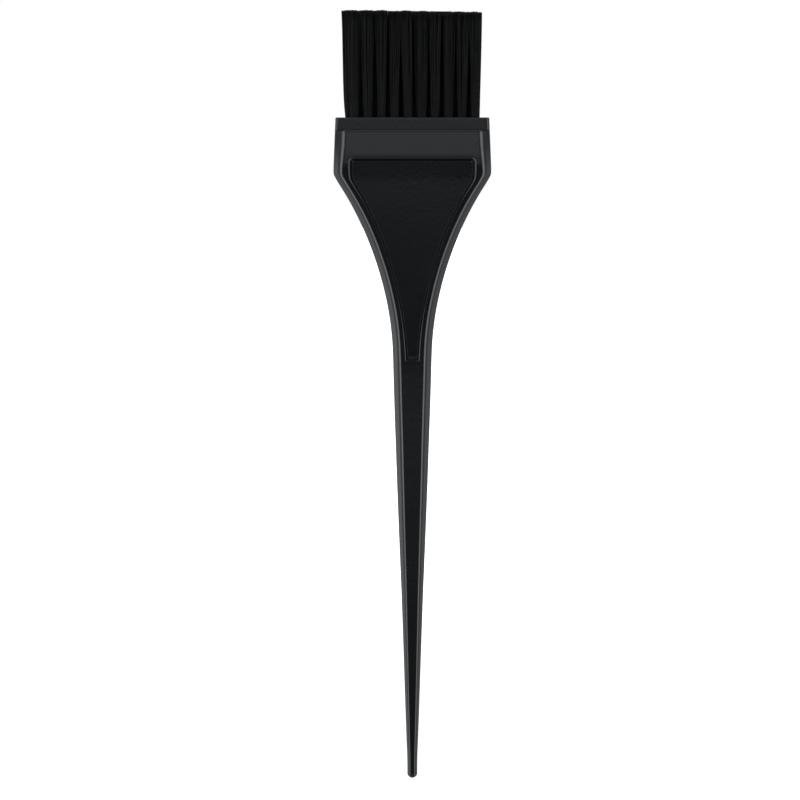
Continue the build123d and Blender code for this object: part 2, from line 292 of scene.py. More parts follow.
def recess_stations(foot, centre, edge_r):
    """Distances in from the mouth's side, from the centreline outwards, closest at the edge
    and the foot of the wall."""
    edge_cut = edge_r * math.tan(WALL_TURN / 2)
    turn_run = math.sin(WALL_TURN)
    foot_end = foot + FOOT_CUT
    gaps = list(np.linspace(-edge_cut, -edge_cut + edge_r * turn_run, EDGE_POINTS))
    gaps += [foot * 0.45, foot * 0.75]
    gaps += list(np.linspace(foot_end - FOOT_R * turn_run, foot_end, EDGE_POINTS))
    gaps.sort()
    gaps += spaced(gaps[-1], min(1.1, 0.6 * (centre - gaps[-1])), FOOT_STEPS)
    gaps += spaced(gaps[-1], centre - gaps[-1], FLOOR_STEPS)
    return gaps[::-1]


def section(z, inset=0.0):
    """Measures of the eight-sided section: a face, a sloped flank and an upright land."""
    side, face, flank = half_width(z), curve(HALF_THICK, z) - inset, curve(FLANK, z)
    drop = curve(FLANK_DROP, z) * flank - inset
    land_y = face - drop
    face_turn = math.atan2(drop, flank)
    land_turn = math.pi / 2 - face_turn
    face_r = min(curve(FACE_EDGE_R, z), 0.5 * flank / math.tan(face_turn / 2))
    land_r = min(LAND_R, 0.6 * land_y / math.tan(land_turn / 2))
    return SimpleNamespace(
        side=side, face=face, land_y=land_y,
        face_turn=face_turn, land_turn=land_turn, face_r=face_r, land_r=land_r,
        face_end=side - flank - face_r * math.tan(face_turn / 2),
        land_cut=land_r * math.tan(land_turn / 2),
    )


def body_quarter(z, inset=0.0):
    """Points (x, distance from the centre plane) from the centreline to the side."""
    cross = section(z, inset)
    side, face, face_end, turn = cross.side, cross.face, cross.face_end, cross.face_turn

    # The part within the recess; below it, its points close in with the narrowing face
    recess_z = max(z, RAMP_START)
    mouth_x = recess_mouth(recess_z)
    rise = 0.05
    widening = (recess_mouth(recess_z + rise) - mouth_x) / rise
    slant = 1 / math.sqrt(1 + widening**2)
    scale = face_end / section(RAMP_START).face_end if z < RAMP_START else 1.0
    full_depth = face - curve(RECESS_FLOOR, z)
    edge_r = curve(RECESS_EDGE_R, z)
    foot = recess_depth(recess_z) * WALL_DRAFT
    points = []
    for gap in recess_stations(foot, mouth_x * slant, edge_r):
        x = max((mouth_x - gap / slant) * scale, 0.0)
        points.append((x, face - recess_cut(x, z, gap, mouth_x, full_depth, edge_r)))

    points += between((points[-1][0], face), (face_end, face), BORDER_POINTS)
    radius = cross.face_r
    for k in range(ARC_STEPS + 1):  # face to flank
        a = turn * k / ARC_STEPS
        points.append((face_end + radius * math.sin(a), face - radius * (1 - math.cos(a))))
    cut = cross.land_cut
    flank_end = (side - cut * math.cos(turn), cross.land_y + cut * math.sin(turn))
    points += between(points[-1], flank_end, FLANK_POINTS)
    radius = cross.land_r
    for k in range(ARC_STEPS + 1):  # flank to land
        a = math.pi / 2 - turn - cross.land_turn * k / ARC_STEPS
        x = side - radius + radius * math.cos(a)
        points.append((x, cross.land_y - cut + radius * math.sin(a)))
    points += between((side, points[-1][1]), (side, RIDGE_FOOT), LAND_POINTS)
    ridge = RIDGE * min(1.0, max(0.0, (z - RIDGE_START) / RIDGE_RUN))
    points.append((side + ridge, 0.0))
    return points


def lip_quarter(z, shape, inset=0.0):
    """The lip's outline, laid out point for point like the body quarter in shape."""
    taper = LIP_HALF_W_TOP - LIP_HALF_W_BOTTOM
    side = LIP_HALF_W_BOTTOM + taper * (z - LIP_BOTTOM) / (HEAD_TOP - LIP_BOTTOM) - inset
    face = LIP_HALF_THICK - inset
    radius = LIP_CORNER_R - inset
    flat = shape[: len(shape) - 1 - LAND_POINTS - ARC_STEPS]
    shrink = min(1.0, (side - radius - 0.12) / flat[-1][0])
    points = [(x * shrink, face) for x, _ in flat]
    for k in range(ARC_STEPS + 1):
        a = math.pi / 2 * (1 - k / ARC_STEPS)
        x = side - radius + radius * math.cos(a)
        points.append((x, face - radius + radius * math.sin(a)))
    for k in range(1, LAND_POINTS):
        u = k / LAND_POINTS
        points.append((side, (face - radius) * (1 - u) + RIDGE_FOOT * u))
    points.append((side + (RIDGE if inset < 0.05 else 0.0), 0.0))
    return points


def ring(points, z):
    """A closed ring from one quarter, from the front centreline towards +X."""
    front_right = [(x, -y, z) for x, y in points]
    back_right = [(x, y, z) for x, y in reversed(points[:-1])]
    back_left = [(-x, y, z) for x, y in points[1:]]
    front_left = [(-x, -y, z) for x, y in reversed(points[1:-1])]
    return front_right + back_right + back_left + front_left


# ------------------------------------------------------------------- handle: mesh
def body_rings():
    """Rings from the round tail up to the rounded step below the lip."""
    rings = []
    for k in range(1, TAIL_STEPS + 1):
        z = TAIL_R * (1 - math.cos(math.pi / 2 * k / TAIL_STEPS))
        scale_x = math.sqrt(1 - ((TAIL_R - z) / TAIL_R) ** 2)
        scale_y = math.sqrt(1 - (max(0.0, TAIL_RY - z) / TAIL_RY) ** 2)
        rings.append(ring([(x * scale_x, y * scale_y) for x, y in body_quarter(z)], z))
    start = TAIL_R
    for end, step in BODY_SPANS:
        for z in spaced(start, end - start, round((end - start) / step)):
            rings.append(ring(body_quarter(z), z))
        start = end
    for k in range(1, STEP_ROUND_STEPS + 1):
        a = math.radians(88) * k / STEP_ROUND_STEPS
        z = LIP_BOTTOM - STEP_ROUND_HEIGHT * (1 - math.sin(a))
        rings.append(ring(body_quarter(z, STEP_ROUND * (1 - math.cos(a))), z))
    return rings


def lip_rings():
    shape = body_quarter(LIP_BOTTOM, STEP_ROUND)
    levels = []  # (z, inset)
    for k in range(LIP_BOTTOM_STEPS + 1):
        a = math.pi / 2 * k / LIP_BOTTOM_STEPS
        z = LIP_BOTTOM + LIP_BOTTOM_R * (1 - math.cos(a))
        levels.append((z, LIP_BOTTOM_R * (1 - math.sin(a))))
    low, high = LIP_BOTTOM + LIP_BOTTOM_R, HEAD_TOP - LIP_TOP_R
    levels += [(z, 0.0) for z in spaced(low, high - low, LIP_SIDE_STEPS)]
    for k in range(1, LIP_TOP_STEPS + 1):
        a = math.pi / 2 * k / LIP_TOP_STEPS
        levels.append((high + LIP_TOP_R * math.sin(a), LIP_TOP_R * (1 - math.cos(a))))
    return [ring(lip_quarter(z, shape, inset), z) for z, inset in levels]


def bands(start, rings, count):
    """Quads between successive rings of count vertices each."""
    faces = []
    for j in range(rings - 1):
        low, high = start + j * count, start + (j + 1) * count
        for i in range(count):
            k = (i + 1) % count
            faces.append((low + i, low + k, high + k, high + i))
    return faces


def tuft_places(row):
    """The (root, tip) of each tuft in a row, towards +X."""
    found = []
    for i in range(TUFTS):
        x = row.shift + (i - (TUFTS - 1) / 2) * PITCH
        tip_z = LENGTH - TRIM_SLOPE * (x - TRIM_X)
        found.append(((x, row.y), (x * FAN_X, row.y + FAN_Y * np.sign(row.y), tip_z)))
    return found


def add_drilled_top(verts, faces, outline):
    """Adds a blind hole for each tuft, and the flat top face between the holes and the
    outline."""
    profile = [  # radius, height above the top face
        (HOLE_MOUTH_R, 0.0), (HOLE_MOUTH_R - 0.045, -0.05),
        (HOLE_R + 0.03, -HOLE_MOUTH_DEPTH + 0.04), (HOLE_R, -HOLE_MOUTH_DEPTH - 0.04),
        (HOLE_R, -2.0), (HOLE_R, -5.0),
        (HOLE_R, -HOLE_DEPTH + 0.25), (HOLE_R - 0.25, -HOLE_DEPTH),
    ]
    centres = [root for row in ROWS.values() for root, _ in tuft_places(row)]
    loops = [outline]
    for x, y in centres:
        start = len(verts)
        for radius, height in profile:
            for i in range(HOLE_SEGMENTS):
                a = 2 * math.pi * i / HOLE_SEGMENTS
                rim = (x + radius * math.cos(a), y + radius * math.sin(a))
                verts.append((*rim, HEAD_TOP + height))
        faces += bands(start, len(profile), HOLE_SEGMENTS)
        faces.append(tuple(range(len(verts) - HOLE_SEGMENTS, len(verts))))
        loops.append(list(range(start, start + HOLE_SEGMENTS)))

    source, edges = [], []
    for loop in loops:
        base, count = len(source), len(loop)
        source += loop
        edges += [(base + i, base + (i + 1) % count) for i in range(count)]
    flat = [Vector(verts[i][:2]) for i in source]
    out_verts, _, triangles, origins, _, _ = delaunay_2d_cdt(flat, edges, [], 0, 1e-6)
    for triangle in triangles:
        middle = sum((out_verts[i] for i in triangle), Vector((0, 0))) / len(triangle)
        inside = (HOLE_MOUTH_R * 0.995) ** 2
        if any((middle.x - x) ** 2 + (middle.y - y) ** 2 < inside for x, y in centres):
            continue
        corners = tuple(source[origins[i][0]] for i in triangle)
        first, second, third = (Vector(verts[i]) for i in corners)
        area = (second - first).cross(third - first).z
        if abs(area) >= 1e-9:
            faces.append(corners if area > 0 else corners[::-1])


def handle_mesh():
    body, lip = body_rings(), lip_rings()
    # a ring under the lip, most of the way in from the body to the lip
    under = [
        tuple(p + (q - p) * 0.9 for p, q in zip(outer, inner))
        for outer, inner in zip(body[-1], lip[0])
    ]
    rings = body + [under] + lip
    count = len(under)
    verts = [point for one in rings for point in one]
    faces = bands(0, len(rings), count)
    pole = len(verts)
    verts.append((0.0, 0.0, 0.0))
    faces += [(pole, (i + 1) % count, i) for i in range(count)]
    add_drilled_top(verts, faces, list(range(pole - count, pole)))
    return verts, faces


def make_object(name, verts, faces, material, attributes=None):
    """A smooth mesh object from millimetres, with one float per vertex for each attribute."""
    mesh = bpy.data.meshes.new(name)
    mesh.from_pydata([tuple(v) for v in np.asarray(verts) * MM], [], faces)
    mesh.validate()
    mesh.update()
    mesh.shade_smooth()
    for key, values in (attributes or {}).items():
        layer = mesh.attributes.new(key, "FLOAT", "POINT")
        layer.data.foreach_set("value", np.asarray(values, np.float32))
    mesh.materials.append(material)
    made = bpy.data.objects.new(name, mesh)
    bpy.context.scene.collection.objects.link(made)
    return made


def area_normals(mesh):
    """Vertex normals weighted by face area, so that flat faces stay flat beside their small
    rounded edges."""
    count = len(mesh.vertices)
    places = np.zeros(count * 3)
    mesh.vertices.foreach_get("co", places)
    places = places.reshape(-1, 3) * 1000
    total = np.zeros((count, 3))
    for polygon in mesh.polygons:
        corners = list(polygon.vertices)
        points = places[corners]
        centre = points.mean(0)
        normal = np.zeros(3)
        for here, following in zip(points, np.roll(points, -1, 0)):
            normal += np.cross(here - centre, following - centre)
        total[corners] += normal
    length = np.linalg.norm(total, axis=1)
    length[length < 1e-12] = 1
    mesh.normals_split_custom_set_from_vertices([tuple(v) for v in total / length[:, None]])


# ---------------------------------------------------------------------- materials
class Graph:
    """Short calls for making and linking the nodes of one tree."""

    def __init__(self, tree):
        self.tree = tree
        tree.nodes.clear()

    def feed(self, node, sockets):
        """Links or sets a node's inputs, by name or number."""
        for key, value in sockets.items():
            if isinstance(value, bpy.types.NodeSocket):
                self.tree.links.new(value, node.inputs[key])
            else:
                node.inputs[key].default_value = value

    def add(self, kind, sockets=None, **props):
        node = self.tree.nodes.new("ShaderNode" + kind)
        for key, value in props.items():
            setattr(node, key, value)
        self.feed(node, sockets or {})
        return node

    def noise(self, vector, scale, detail=3.0, roughness=0.5):
        sockets = {"Vector": vector, "Scale": scale, "Detail": detail, "Roughness": roughness}
        return self.add("TexNoise", sockets).outputs["Fac"]

    def remap(self, value, source, target=(0.0, 1.0), smooth=False):
        sockets = {
            "Value": value,
            "From Min": source[0], "From Max": source[1],
            "To Min": target[0], "To Max": target[1],
        }
        kind = "SMOOTHSTEP" if smooth else "LINEAR"
        node = self.add("MapRange", sockets, interpolation_type=kind, clamp=True)
        return node.outputs["Result"]

    def calc(self, operation, a, b=None):
        sockets = {0: a} if b is None else {0: a, 1: b}
        return self.add("Math", sockets, operation=operation).outputs[0]

    def unit(self, value):
        """Clamps to 0..1."""
        return self.calc("MINIMUM", self.calc("MAXIMUM", value, 0.0), 1.0)

    def mix(self, share, first, second):
        """Mixes two colours, each an RGB tuple or a socket."""
        first, second = ((*c, 1.0) if isinstance(c, tuple) else c for c in (first, second))
        # inputs 6 and 7 are the node's colour pair
        return self.add("Mix", {0: share, 6: first, 7: second}, data_type="RGBA").outputs[2]

    def stretched(self, x=1, y=1, z=1):
        """Object coordinates, scaled along each axis."""
        place = self.add("TexCoord").outputs["Object"]
        return self.add("Mapping", {"Vector": place, "Scale": (x, y, z)}).outputs["Vector"]

    def bump(self, height, strength, distance, normal=None):
        sockets = {"Height": height, "Strength": strength, "Distance": distance}
        if normal is not None:
            sockets["Normal"] = normal
        return self.add("Bump", sockets).outputs["Normal"]


def principled(name):
    material = bpy.data.materials.new(name)
    material.use_nodes = True
    graph = Graph(material.node_tree)
    shader = graph.add("BsdfPrincipled")
    graph.add("OutputMaterial", {"Surface": shader.outputs[0]})
    return material, graph, shader


def plastic_material():
    material, g, shader = principled("black_moulded_plastic")
    plain = g.stretched()
    # slow colour drift of the pigment, and faint melt-flow streaks along the handle
    drift = g.noise(plain, scale=38)
    streak = g.noise(g.stretched(z=0.12), scale=420, detail=4, roughness=0.6)
    share = g.remap(drift, source=(0.3, 0.7))
    base = g.mix(share, (0.0010, 0.0011, 0.0012), (0.0016, 0.0018, 0.0020))
    share = g.remap(streak, source=(0.52, 0.72), target=(0, 0.35))
    base = g.mix(share, base, (0.0026, 0.0028, 0.0030))
    # mould texture: fine even grain with a softer orange peel under it
    peel = g.noise(plain, scale=900, detail=2)
    grain = g.noise(plain, scale=6500, detail=2, roughness=0.6)
    scratch = g.noise(g.stretched(60, 60, 2.2), scale=70, detail=2, roughness=0.4)
    scuff = g.noise(plain, scale=60)
    rough = g.calc(
        "ADD",
        g.remap(scuff, source=(0.3, 0.75), target=(0.14, 0.17)),
        g.remap(grain, source=(0.35, 0.65), target=(-0.02, 0.03)),
    )
    rough = g.calc("ADD", rough, g.remap(scratch, source=(0.66, 0.8), target=(0.0, 0.05)))
    normal = g.bump(peel, strength=0.05, distance=0.0003)
    normal = g.bump(grain, strength=0.06, distance=0.00004, normal=normal)
    normal = g.bump(scratch, strength=0.03, distance=0.0001, normal=normal)
    g.feed(shader, {
        "Base Color": base, "Roughness": rough, "Normal": normal,
        "IOR": 1.5, "Specular IOR Level": 0.5,
    })
    return material


def filament_material(name, number):
    material, g, shader = principled(name)
    strand = g.add("Attribute", attribute_name="strand").outputs["Fac"]
    along = g.add("Attribute", attribute_name="along").outputs["Fac"]
    fine = g.noise(g.stretched(z=0.06), scale=2600 + 13 * number, roughness=0.6)
    pale = (0.0018, 0.0018, 0.0020)
    base = g.mix(g.remap(strand, source=(0, 1)), (0.0003, 0.0003, 0.0004), pale)
    base = g.mix(g.remap(fine, source=(0.35, 0.7), target=(0, 0.5)), base, pale)
    # painted highlight: the last tips of the strands are painted lighter, standing in for the
    # top light catching the cut ends
    share = g.remap(along, source=(0.985, 1.0), target=(0, 0.7))
    base = g.mix(share, base, (0.006, 0.006, 0.0065))
    rough = g.calc(
        "ADD",
        g.remap(strand, source=(0, 1), target=(0.34, 0.48)),
        g.remap(fine, source=(0.35, 0.7), target=(-0.04, 0.06)),
    )
    g.feed(shader, {
        "Base Color": base, "Roughness": rough,
        "Normal": g.bump(fine, strength=0.15, distance=0.00002),
        "IOR": 1.53, "Specular IOR Level": 0.12,
    })
    return material


def brass_material():
    material, g, shader = principled("drawn_brass_wire")
    drawn = g.noise(g.stretched(), scale=5200, roughness=0.6)
    tarnish = g.noise(g.stretched(), scale=700, detail=4, roughness=0.6)
    share = g.remap(tarnish, source=(0.35, 0.7))
    g.feed(shader, {
        "Base Color": g.mix(share, (0.72, 0.50, 0.22), (0.42, 0.27, 0.12)),
        "Metallic": 1.0,
        "Roughness": g.remap(drawn, source=(0.3, 0.7), target=(0.22, 0.42)),
        "Normal": g.bump(drawn, strength=0.2, distance=0.00002),
    })
    return material


def floor_material():
    material, g, shader = principled("pale_floor")
    share = g.remap(g.noise(g.stretched(), scale=60), source=(0.3, 0.7))
    # to the camera the floor glows, more with distance, until it merges with the white
    place = g.add("TexCoord").outputs["Object"]
    far = g.add("VectorMath", {0: place}, operation="LENGTH").outputs["Value"]
    glow = g.remap(far, source=(0.12, 0.9), target=(0.34, 1.0), smooth=True)
    seen = g.add("LightPath").outputs["Is Camera Ray"]
    g.feed(shader, {
        "Base Color": g.mix(share, (0.88, 0.88, 0.88), (0.91, 0.91, 0.91)),
        "Roughness": 0.7, "Specular IOR Level": 0.1,
        "Emission Color": (1, 1, 1, 1), "Emission Strength": g.calc("MULTIPLY", seen, glow),
    })
    return material


# ----------------------------------------------------------------------- bristles
STRAND_SIDES, STRAND_R = 6, 0.098
PACK_R, PACK_PITCH, PACK_JITTER = 1.10, 0.212, 0.018
ROOT_MAX_R = 1.12
MIRROR_GAP = 0.08  # least y of a strand in the half that is mirrored
# The tip's half sizes against the root's radius
GROWTH = np.array([1.86 / 1.20, 1.45 / 1.20]) * 0.985
GROWTH_MOST = 1.02

# Random scatter, as standard deviations in mm; pairs are (x, y)
LEAN_Y, TALL = 0.05, 0.045
BUNDLES = 7
BUNDLE_PART, BUNDLE_BOW, BUNDLE_TALL = (0.20, 0.17), (0.10, 0.05), 0.06
STRAY_SHARE, STRAY_WANDER = 0.06, (0.45, 0.34)
JITTER_Y = 0.13
STRAND_BOW, TUFT_BOW, WAVE = (0.10, 0.08), (0.10, 0.05), (0.035, 0.03)
STRAND_TALL = 0.07
SHORT_SHARE, SHORT_BY = 0.05, (0.3, 1.8)  # share of short strands, range they lack
ROUND_OFF = 0.08  # how much lower a tuft's outermost tips are
TIP_OVER = 0.12  # most that a tip rises above LENGTH
THICKNESS = (0.92, 1.06)  # range of the factor on STRAND_R

# The end tufts: factor on lean, extra lean at -X, factors on parting, height and bow
END_LEAN, END_LEAN_LEFT, END_PART, END_TALL, END_BOW = 0.4, 0.3, 0.5, 0.5, 0.3
END_LIMITS = ((1, 19.60), (-1, 19.95))  # direction in x, furthest tip
END_PULL = 1.6  # how far a tip past the limit is pulled in, per mm

BURIED = (-1.25, -0.6)  # first two heights of a strand, in mm from the head's top
RISE_POINTS = 10


def tubes(paths, radius):
    """Closed tubes along (strands, points, 3) centrelines; radius is (strands, points)."""
    strands, points, _ = paths.shape
    tangent = np.gradient(paths, axis=1)
    tangent /= np.linalg.norm(tangent, axis=2, keepdims=True)
    across = np.cross(tangent, (1.0, 0.0, 0.0))
    across /= np.linalg.norm(across, axis=2, keepdims=True)
    other = np.cross(tangent, across)
    angle = (np.arange(STRAND_SIDES) * 2 * np.pi / STRAND_SIDES)[None, None, :, None]
    around = np.cos(angle) * across[:, :, None, :] + np.sin(angle) * other[:, :, None, :]
    verts = (paths[:, :, None, :] + radius[:, :, None, None] * around).reshape(-1, 3)
    size = points * STRAND_SIDES
    faces = []
    for s in range(strands):
        faces += bands(s * size, points, STRAND_SIDES)
    for s in range(strands):
        start, end = s * size, (s + 1) * size
        faces.append(tuple(reversed(range(start, start + STRAND_SIDES))))
        faces.append(tuple(range(end - STRAND_SIDES, end)))
    return verts, faces


def packed_disc(radius, pitch):
    """Points of a triangular grid within a circle."""
    points = []
    lines = int(radius / (pitch * 0.866)) + 1
    columns = int(radius / pitch) + 2
    for j in range(-lines, lines + 1):
        y = (j + 0.5) * pitch * 0.866
        offset = pitch / 2 if j % 2 else 0
        for i in range(-columns, columns + 1):
            x = i * pitch + offset
            if x * x + y * y <= radius * radius:
                points.append((x, y))
    return np.array(points)


def tuft_rng(row, index):
    return np.random.default_rng(1000 * (row.number + 1) + index)


def strand_places(rng):
    """Where one tuft's strands stand on the +Y side of its anchor."""
    half = packed_disc(PACK_R, PACK_PITCH)
    half = half[half[:, 1] > 0]
    half = half + rng.normal(0, PACK_JITTER, half.shape)
    half[:, 1] = np.maximum(half[:, 1], MIRROR_GAP)
    distance = np.linalg.norm(half, axis=1)
    over = distance > ROOT_MAX_R
    half[over] *= (ROOT_MAX_R / distance[over])[:, None]
    return half


def strand_paths(root, tip, places, spread, top, opening, bow, wave):
    """Centrelines from just inside the hole to the tips; bow is (offsets, factors)."""
    root, tip = np.array(root), np.array(tip[:2])
    paths = np.zeros((len(places), len(BURIED) + RISE_POINTS, 3))
    for j, height in enumerate(BURIED):
        paths[:, j, :2] = root + places
        paths[:, j, 2] = HEAD_TOP + height
    for j, h in enumerate(np.linspace(0.0, 1.0, RISE_POINTS), len(BURIED)):
        ease = (h + 0.15 * h * (1 - h)) ** opening
        paths[:, j, :2] = root + (tip - root) * h + places + (spread - places) * ease
        swing = math.sin(2 * math.pi * h)
        paths[:, j, :2] += bow[0] * (4 * h * (1 - h)) * h * bow[1] + wave * swing
        paths[:, j, 2] = HEAD_TOP + (top - HEAD_TOP) * h
    return paths


def tuft_strands(row, index, root, tip):
    """The visible strands of one tuft. The order of the random draws sets its shape."""
    rng = tuft_rng(row, index)
    half = strand_places(rng)
    places = np.concatenate([half, half * (1, -1)])  # folded strands mirror each other
    count = len(places)
    at_end = index in (0, TUFTS - 1)
    sign = np.sign(root[0])

    # how much this tuft splays, leans and stands up, and how soon it opens out
    growth = GROWTH * rng.uniform(row.least_growth, GROWTH_MOST)
    lean = rng.normal(0, (row.lean, LEAN_Y), 2)
    opening = rng.uniform(*row.opening)
    tall = rng.normal(0, TALL)
    if at_end:
        lean[0] = abs(lean[0]) * END_LEAN * sign - (END_LEAN_LEFT if sign < 0 else 0.0)
        growth[0] = GROWTH[0]
        tall = -abs(tall) * END_TALL
    spread = places * growth + lean

    # strands cling together in a few bundles that part from each other towards the tips
    seat = places[rng.integers(0, count, BUNDLES)]
    bundle = np.argmin(((places[:, None, :] - seat[None, :, :]) ** 2).sum(2), axis=1)
    part = rng.normal(0, BUNDLE_PART, (BUNDLES, 2))
    wander = rng.normal(0, STRAY_WANDER, (count, 2))
    if at_end:  # nothing stands outside the end tufts, so these only part inwards
        part[:, 0] = -END_PART * sign * abs(part[:, 0])
        wander[:, 0] = -sign * abs(wander[:, 0])
    spread += part[bundle] * row.loose
    spread += rng.normal(0, (row.jitter, JITTER_Y), (count, 2))
    # a few strands wander into the gap beside their tuft
    stray = rng.random(count) < STRAY_SHARE
    spread[stray] += wander[stray]
    # the outermost strands stay close to the rest
    for direction, limit in END_LIMITS:
        over = direction * (tip[0] + spread[:, 0]) - limit
        spread[:, 0] -= direction * np.where(over > 0, END_PULL * over, 0.0)

    bow = rng.normal(0, STRAND_BOW, (count, 2)) + rng.normal(0, TUFT_BOW, 2)
    bow += rng.normal(0, BUNDLE_BOW, (BUNDLES, 2))[bundle] * row.loose
    bow_factors = np.array([END_BOW if at_end else 1.0, 1.0])
    wave = rng.normal(0, WAVE, (count, 2))

    short = rng.random(count) < SHORT_SHARE
    out = np.hypot(places[:, 0], places[:, 1])
    out = out / out.max()
    top = tip[2] + tall - TRIM_SLOPE * spread[:, 0] + rng.normal(0, STRAND_TALL, count)
    top -= ROUND_OFF * out**3
    top += rng.normal(0, BUNDLE_TALL, BUNDLES)[bundle]
    top[short] -= rng.uniform(*SHORT_BY, int(short.sum()))
    top = np.minimum(top, LENGTH + TIP_OVER)

    paths = strand_paths(root, tip, places, spread, top, opening, (bow, bow_factors), wave)
    points = paths.shape[1]
    radius = np.full((count, points), STRAND_R) * rng.uniform(*THICKNESS, count)[:, None]
    # shade of each strand: its own, its bundle's and its tuft's part
    tone = 0.45 * rng.random(count) ** 1.3
    tone = tone + 0.35 * rng.random(BUNDLES)[bundle] + 0.2 * rng.random()
    along = np.concatenate([np.zeros(len(BURIED)), np.linspace(0.0, 1.0, RISE_POINTS)])
    return *tubes(paths, radius), {
        "strand": np.repeat(tone, points * STRAND_SIDES),
        "along": np.tile(np.repeat(along, STRAND_SIDES), count),
    }


LEG_HEIGHTS = (-1.35, -3.5, -5.6, -ANCHOR_BOTTOM)  # from the head's top
LEG_TOP, LEG_PRESSED = LEG_HEIGHTS[0], LEG_HEIGHTS[2]
LEG_NEAR = ANCHOR_THICK / 2 + STRAND_R + 0.01  # nearest and furthest from the anchor's middle
LEG_FAR = 1.08
LEG_CAP_MIN = 0.09  # least square of the room left beside the anchor
FOLD_ANGLES = (30, 60, 90, 120, 150)
FOLD_DROP, FOLD_DROP_GAIN = 0.16, 0.55  # depth of the nearest fold, and gain per mm outwards


def folded_paths(root, half):
    """Strands down one side of the anchor, under it and up the other side."""
    x, y = root
    reach = LEG_NEAR + (half[:, 1] - half[:, 1].min()) / ROOT_MAX_R * (LEG_FAR - LEG_NEAR)
    room = np.sqrt(np.maximum(ROOT_MAX_R**2 - half[:, 0] ** 2, LEG_CAP_MIN))
    reach = np.minimum(reach, np.maximum(room, LEG_NEAR))
    drop = FOLD_DROP + FOLD_DROP_GAIN * (reach - LEG_NEAR)

    def level(offset, height):
        heights = np.full(len(half), HEAD_TOP) + height
        return np.stack([x + half[:, 0], y + offset, heights], 1)

    def leg(side):
        points = []
        for height in LEG_HEIGHTS:
            u = min(1.0, (LEG_TOP - height) / (LEG_TOP - LEG_PRESSED))
            points.append(level(side * (half[:, 1] * (1 - u) + reach * u), height))
        return points

    fold = []
    for a in map(math.radians, FOLD_ANGLES):
        fold.append(level(reach * math.cos(a), -ANCHOR_BOTTOM - drop * math.sin(a)))
    return np.stack(leg(1) + fold + leg(-1)[::-1], 1)


def folded_roots(row):
    """The parts of a row's tufts inside their holes, as one mesh."""
    all_verts, all_faces, tones, count = [], [], [], 0
    for index, (root, _) in enumerate(tuft_places(row)):
        rng = tuft_rng(row, index)
        half = strand_places(rng)
        paths = folded_paths(root, half)
        verts, faces = tubes(paths, np.full(paths.shape[:2], STRAND_R * 0.98))
        all_verts.append(verts)
        all_faces += [tuple(i + count for i in face) for face in faces]
        count += len(verts)
        tones.append(np.repeat(rng.random(len(half)), paths.shape[1] * STRAND_SIDES))
    attributes = {"strand": np.concatenate(tones), "along": np.full(count, 0.2)}
    return np.concatenate(all_verts), all_faces, attributes


# ---------------------------------------------------------------------- the brush
def build_handle():
    plastic = plastic_material()
    handle = make_object("handle_moulding", *handle_mesh(), plastic)
    area_normals(handle.data)
    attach(handle, "handle")
    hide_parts("handle")


def build_row(name, row, brass):
    nylon = filament_material(f"black_nylon_{name}", row.number)
    verts, faces, attributes = folded_roots(row)
    roots = make_object(f"{name}_row_folded_roots", verts, faces, nylon, attributes)
    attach(roots, "handle")
    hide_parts(f"{name}_row_tuft_roots")
    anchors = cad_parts[f"{name}_row_anchors"]
    anchors.data.materials.clear()
    anchors.data.materials.append(brass)
    for i, (root, tip) in enumerate(tuft_places(row)):
        verts, faces, attributes = tuft_strands(row, i, root, tip)
        tuft = make_object(f"bristles_{name}_{i + 1:02d}", verts, faces, nylon, attributes)
        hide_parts(f"tuft_{name}_{i + 1:02d}")
        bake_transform(tuft)


build_handle()
brass_wire = brass_material()
for row_name, tuft_row in ROWS.items():
    build_row(row_name, tuft_row, brass_wire)

# ------------------------------------------------- floor, light, camera (in metres)
scene = bpy.context.scene
FLOOR_HALF, FLOOR_Z = 30.0, -0.0004


def build_floor():
    mesh = bpy.data.meshes.new("floor")
    signs = ((-1, -1), (1, -1), (1, 1), (-1, 1))
    corners = [(x * FLOOR_HALF, y * FLOOR_HALF, 0) for x, y in signs]
    mesh.from_pydata(corners, [], [(0, 1, 2, 3)])
    mesh.materials.append(floor_material())
    floor = bpy.data.objects.new("floor", mesh)
    floor.location.z = FLOOR_Z
    floor.visible_glossy = False
    floor.visible_diffuse = False
    scene.collection.objects.link(floor)


def build_top_light():
    light = bpy.data.lights.new("soft_top", "AREA")
    light.shape = "RECTANGLE"
    light.size, light.size_y = 0.9, 0.7
    light.energy = 2.0
    top_light = bpy.data.objects.new("soft_top", light)
    top_light.location = (0, 0, 1.1)
    top_light.visible_camera = False
    scene.collection.objects.link(top_light)


# Radiance of the studio the plastic mirrors, by degrees of azimuth away from the camera's
# line (negative on the left) at three heights. The half behind the brush is the same.
AZIMUTHS = (-84, -72, -60, -48, -36, -24, -12, 0, 12, 24, 36, 48, 60, 72, 84)
LOW = (1.3, 1.2, 1.2, 1.6, 4, 3.6, 0.03, 0, 0.03, 2.8, 3.7, 1.5, 1.1, 1, 0.9)
MID = (2, 1, 0.6, 0.8, 3.7, 4.2, 0.03, 0, 0.03, 3.8, 4, 0.6, 0.55, 0.85, 1.3)
HIGH = (0.8, 0.7, 0.6, 1.2, 2.5, 2.2, 0.1, 0, 0.1, 2.2, 2.5, 1, 0.5, 0.6, 0.7)
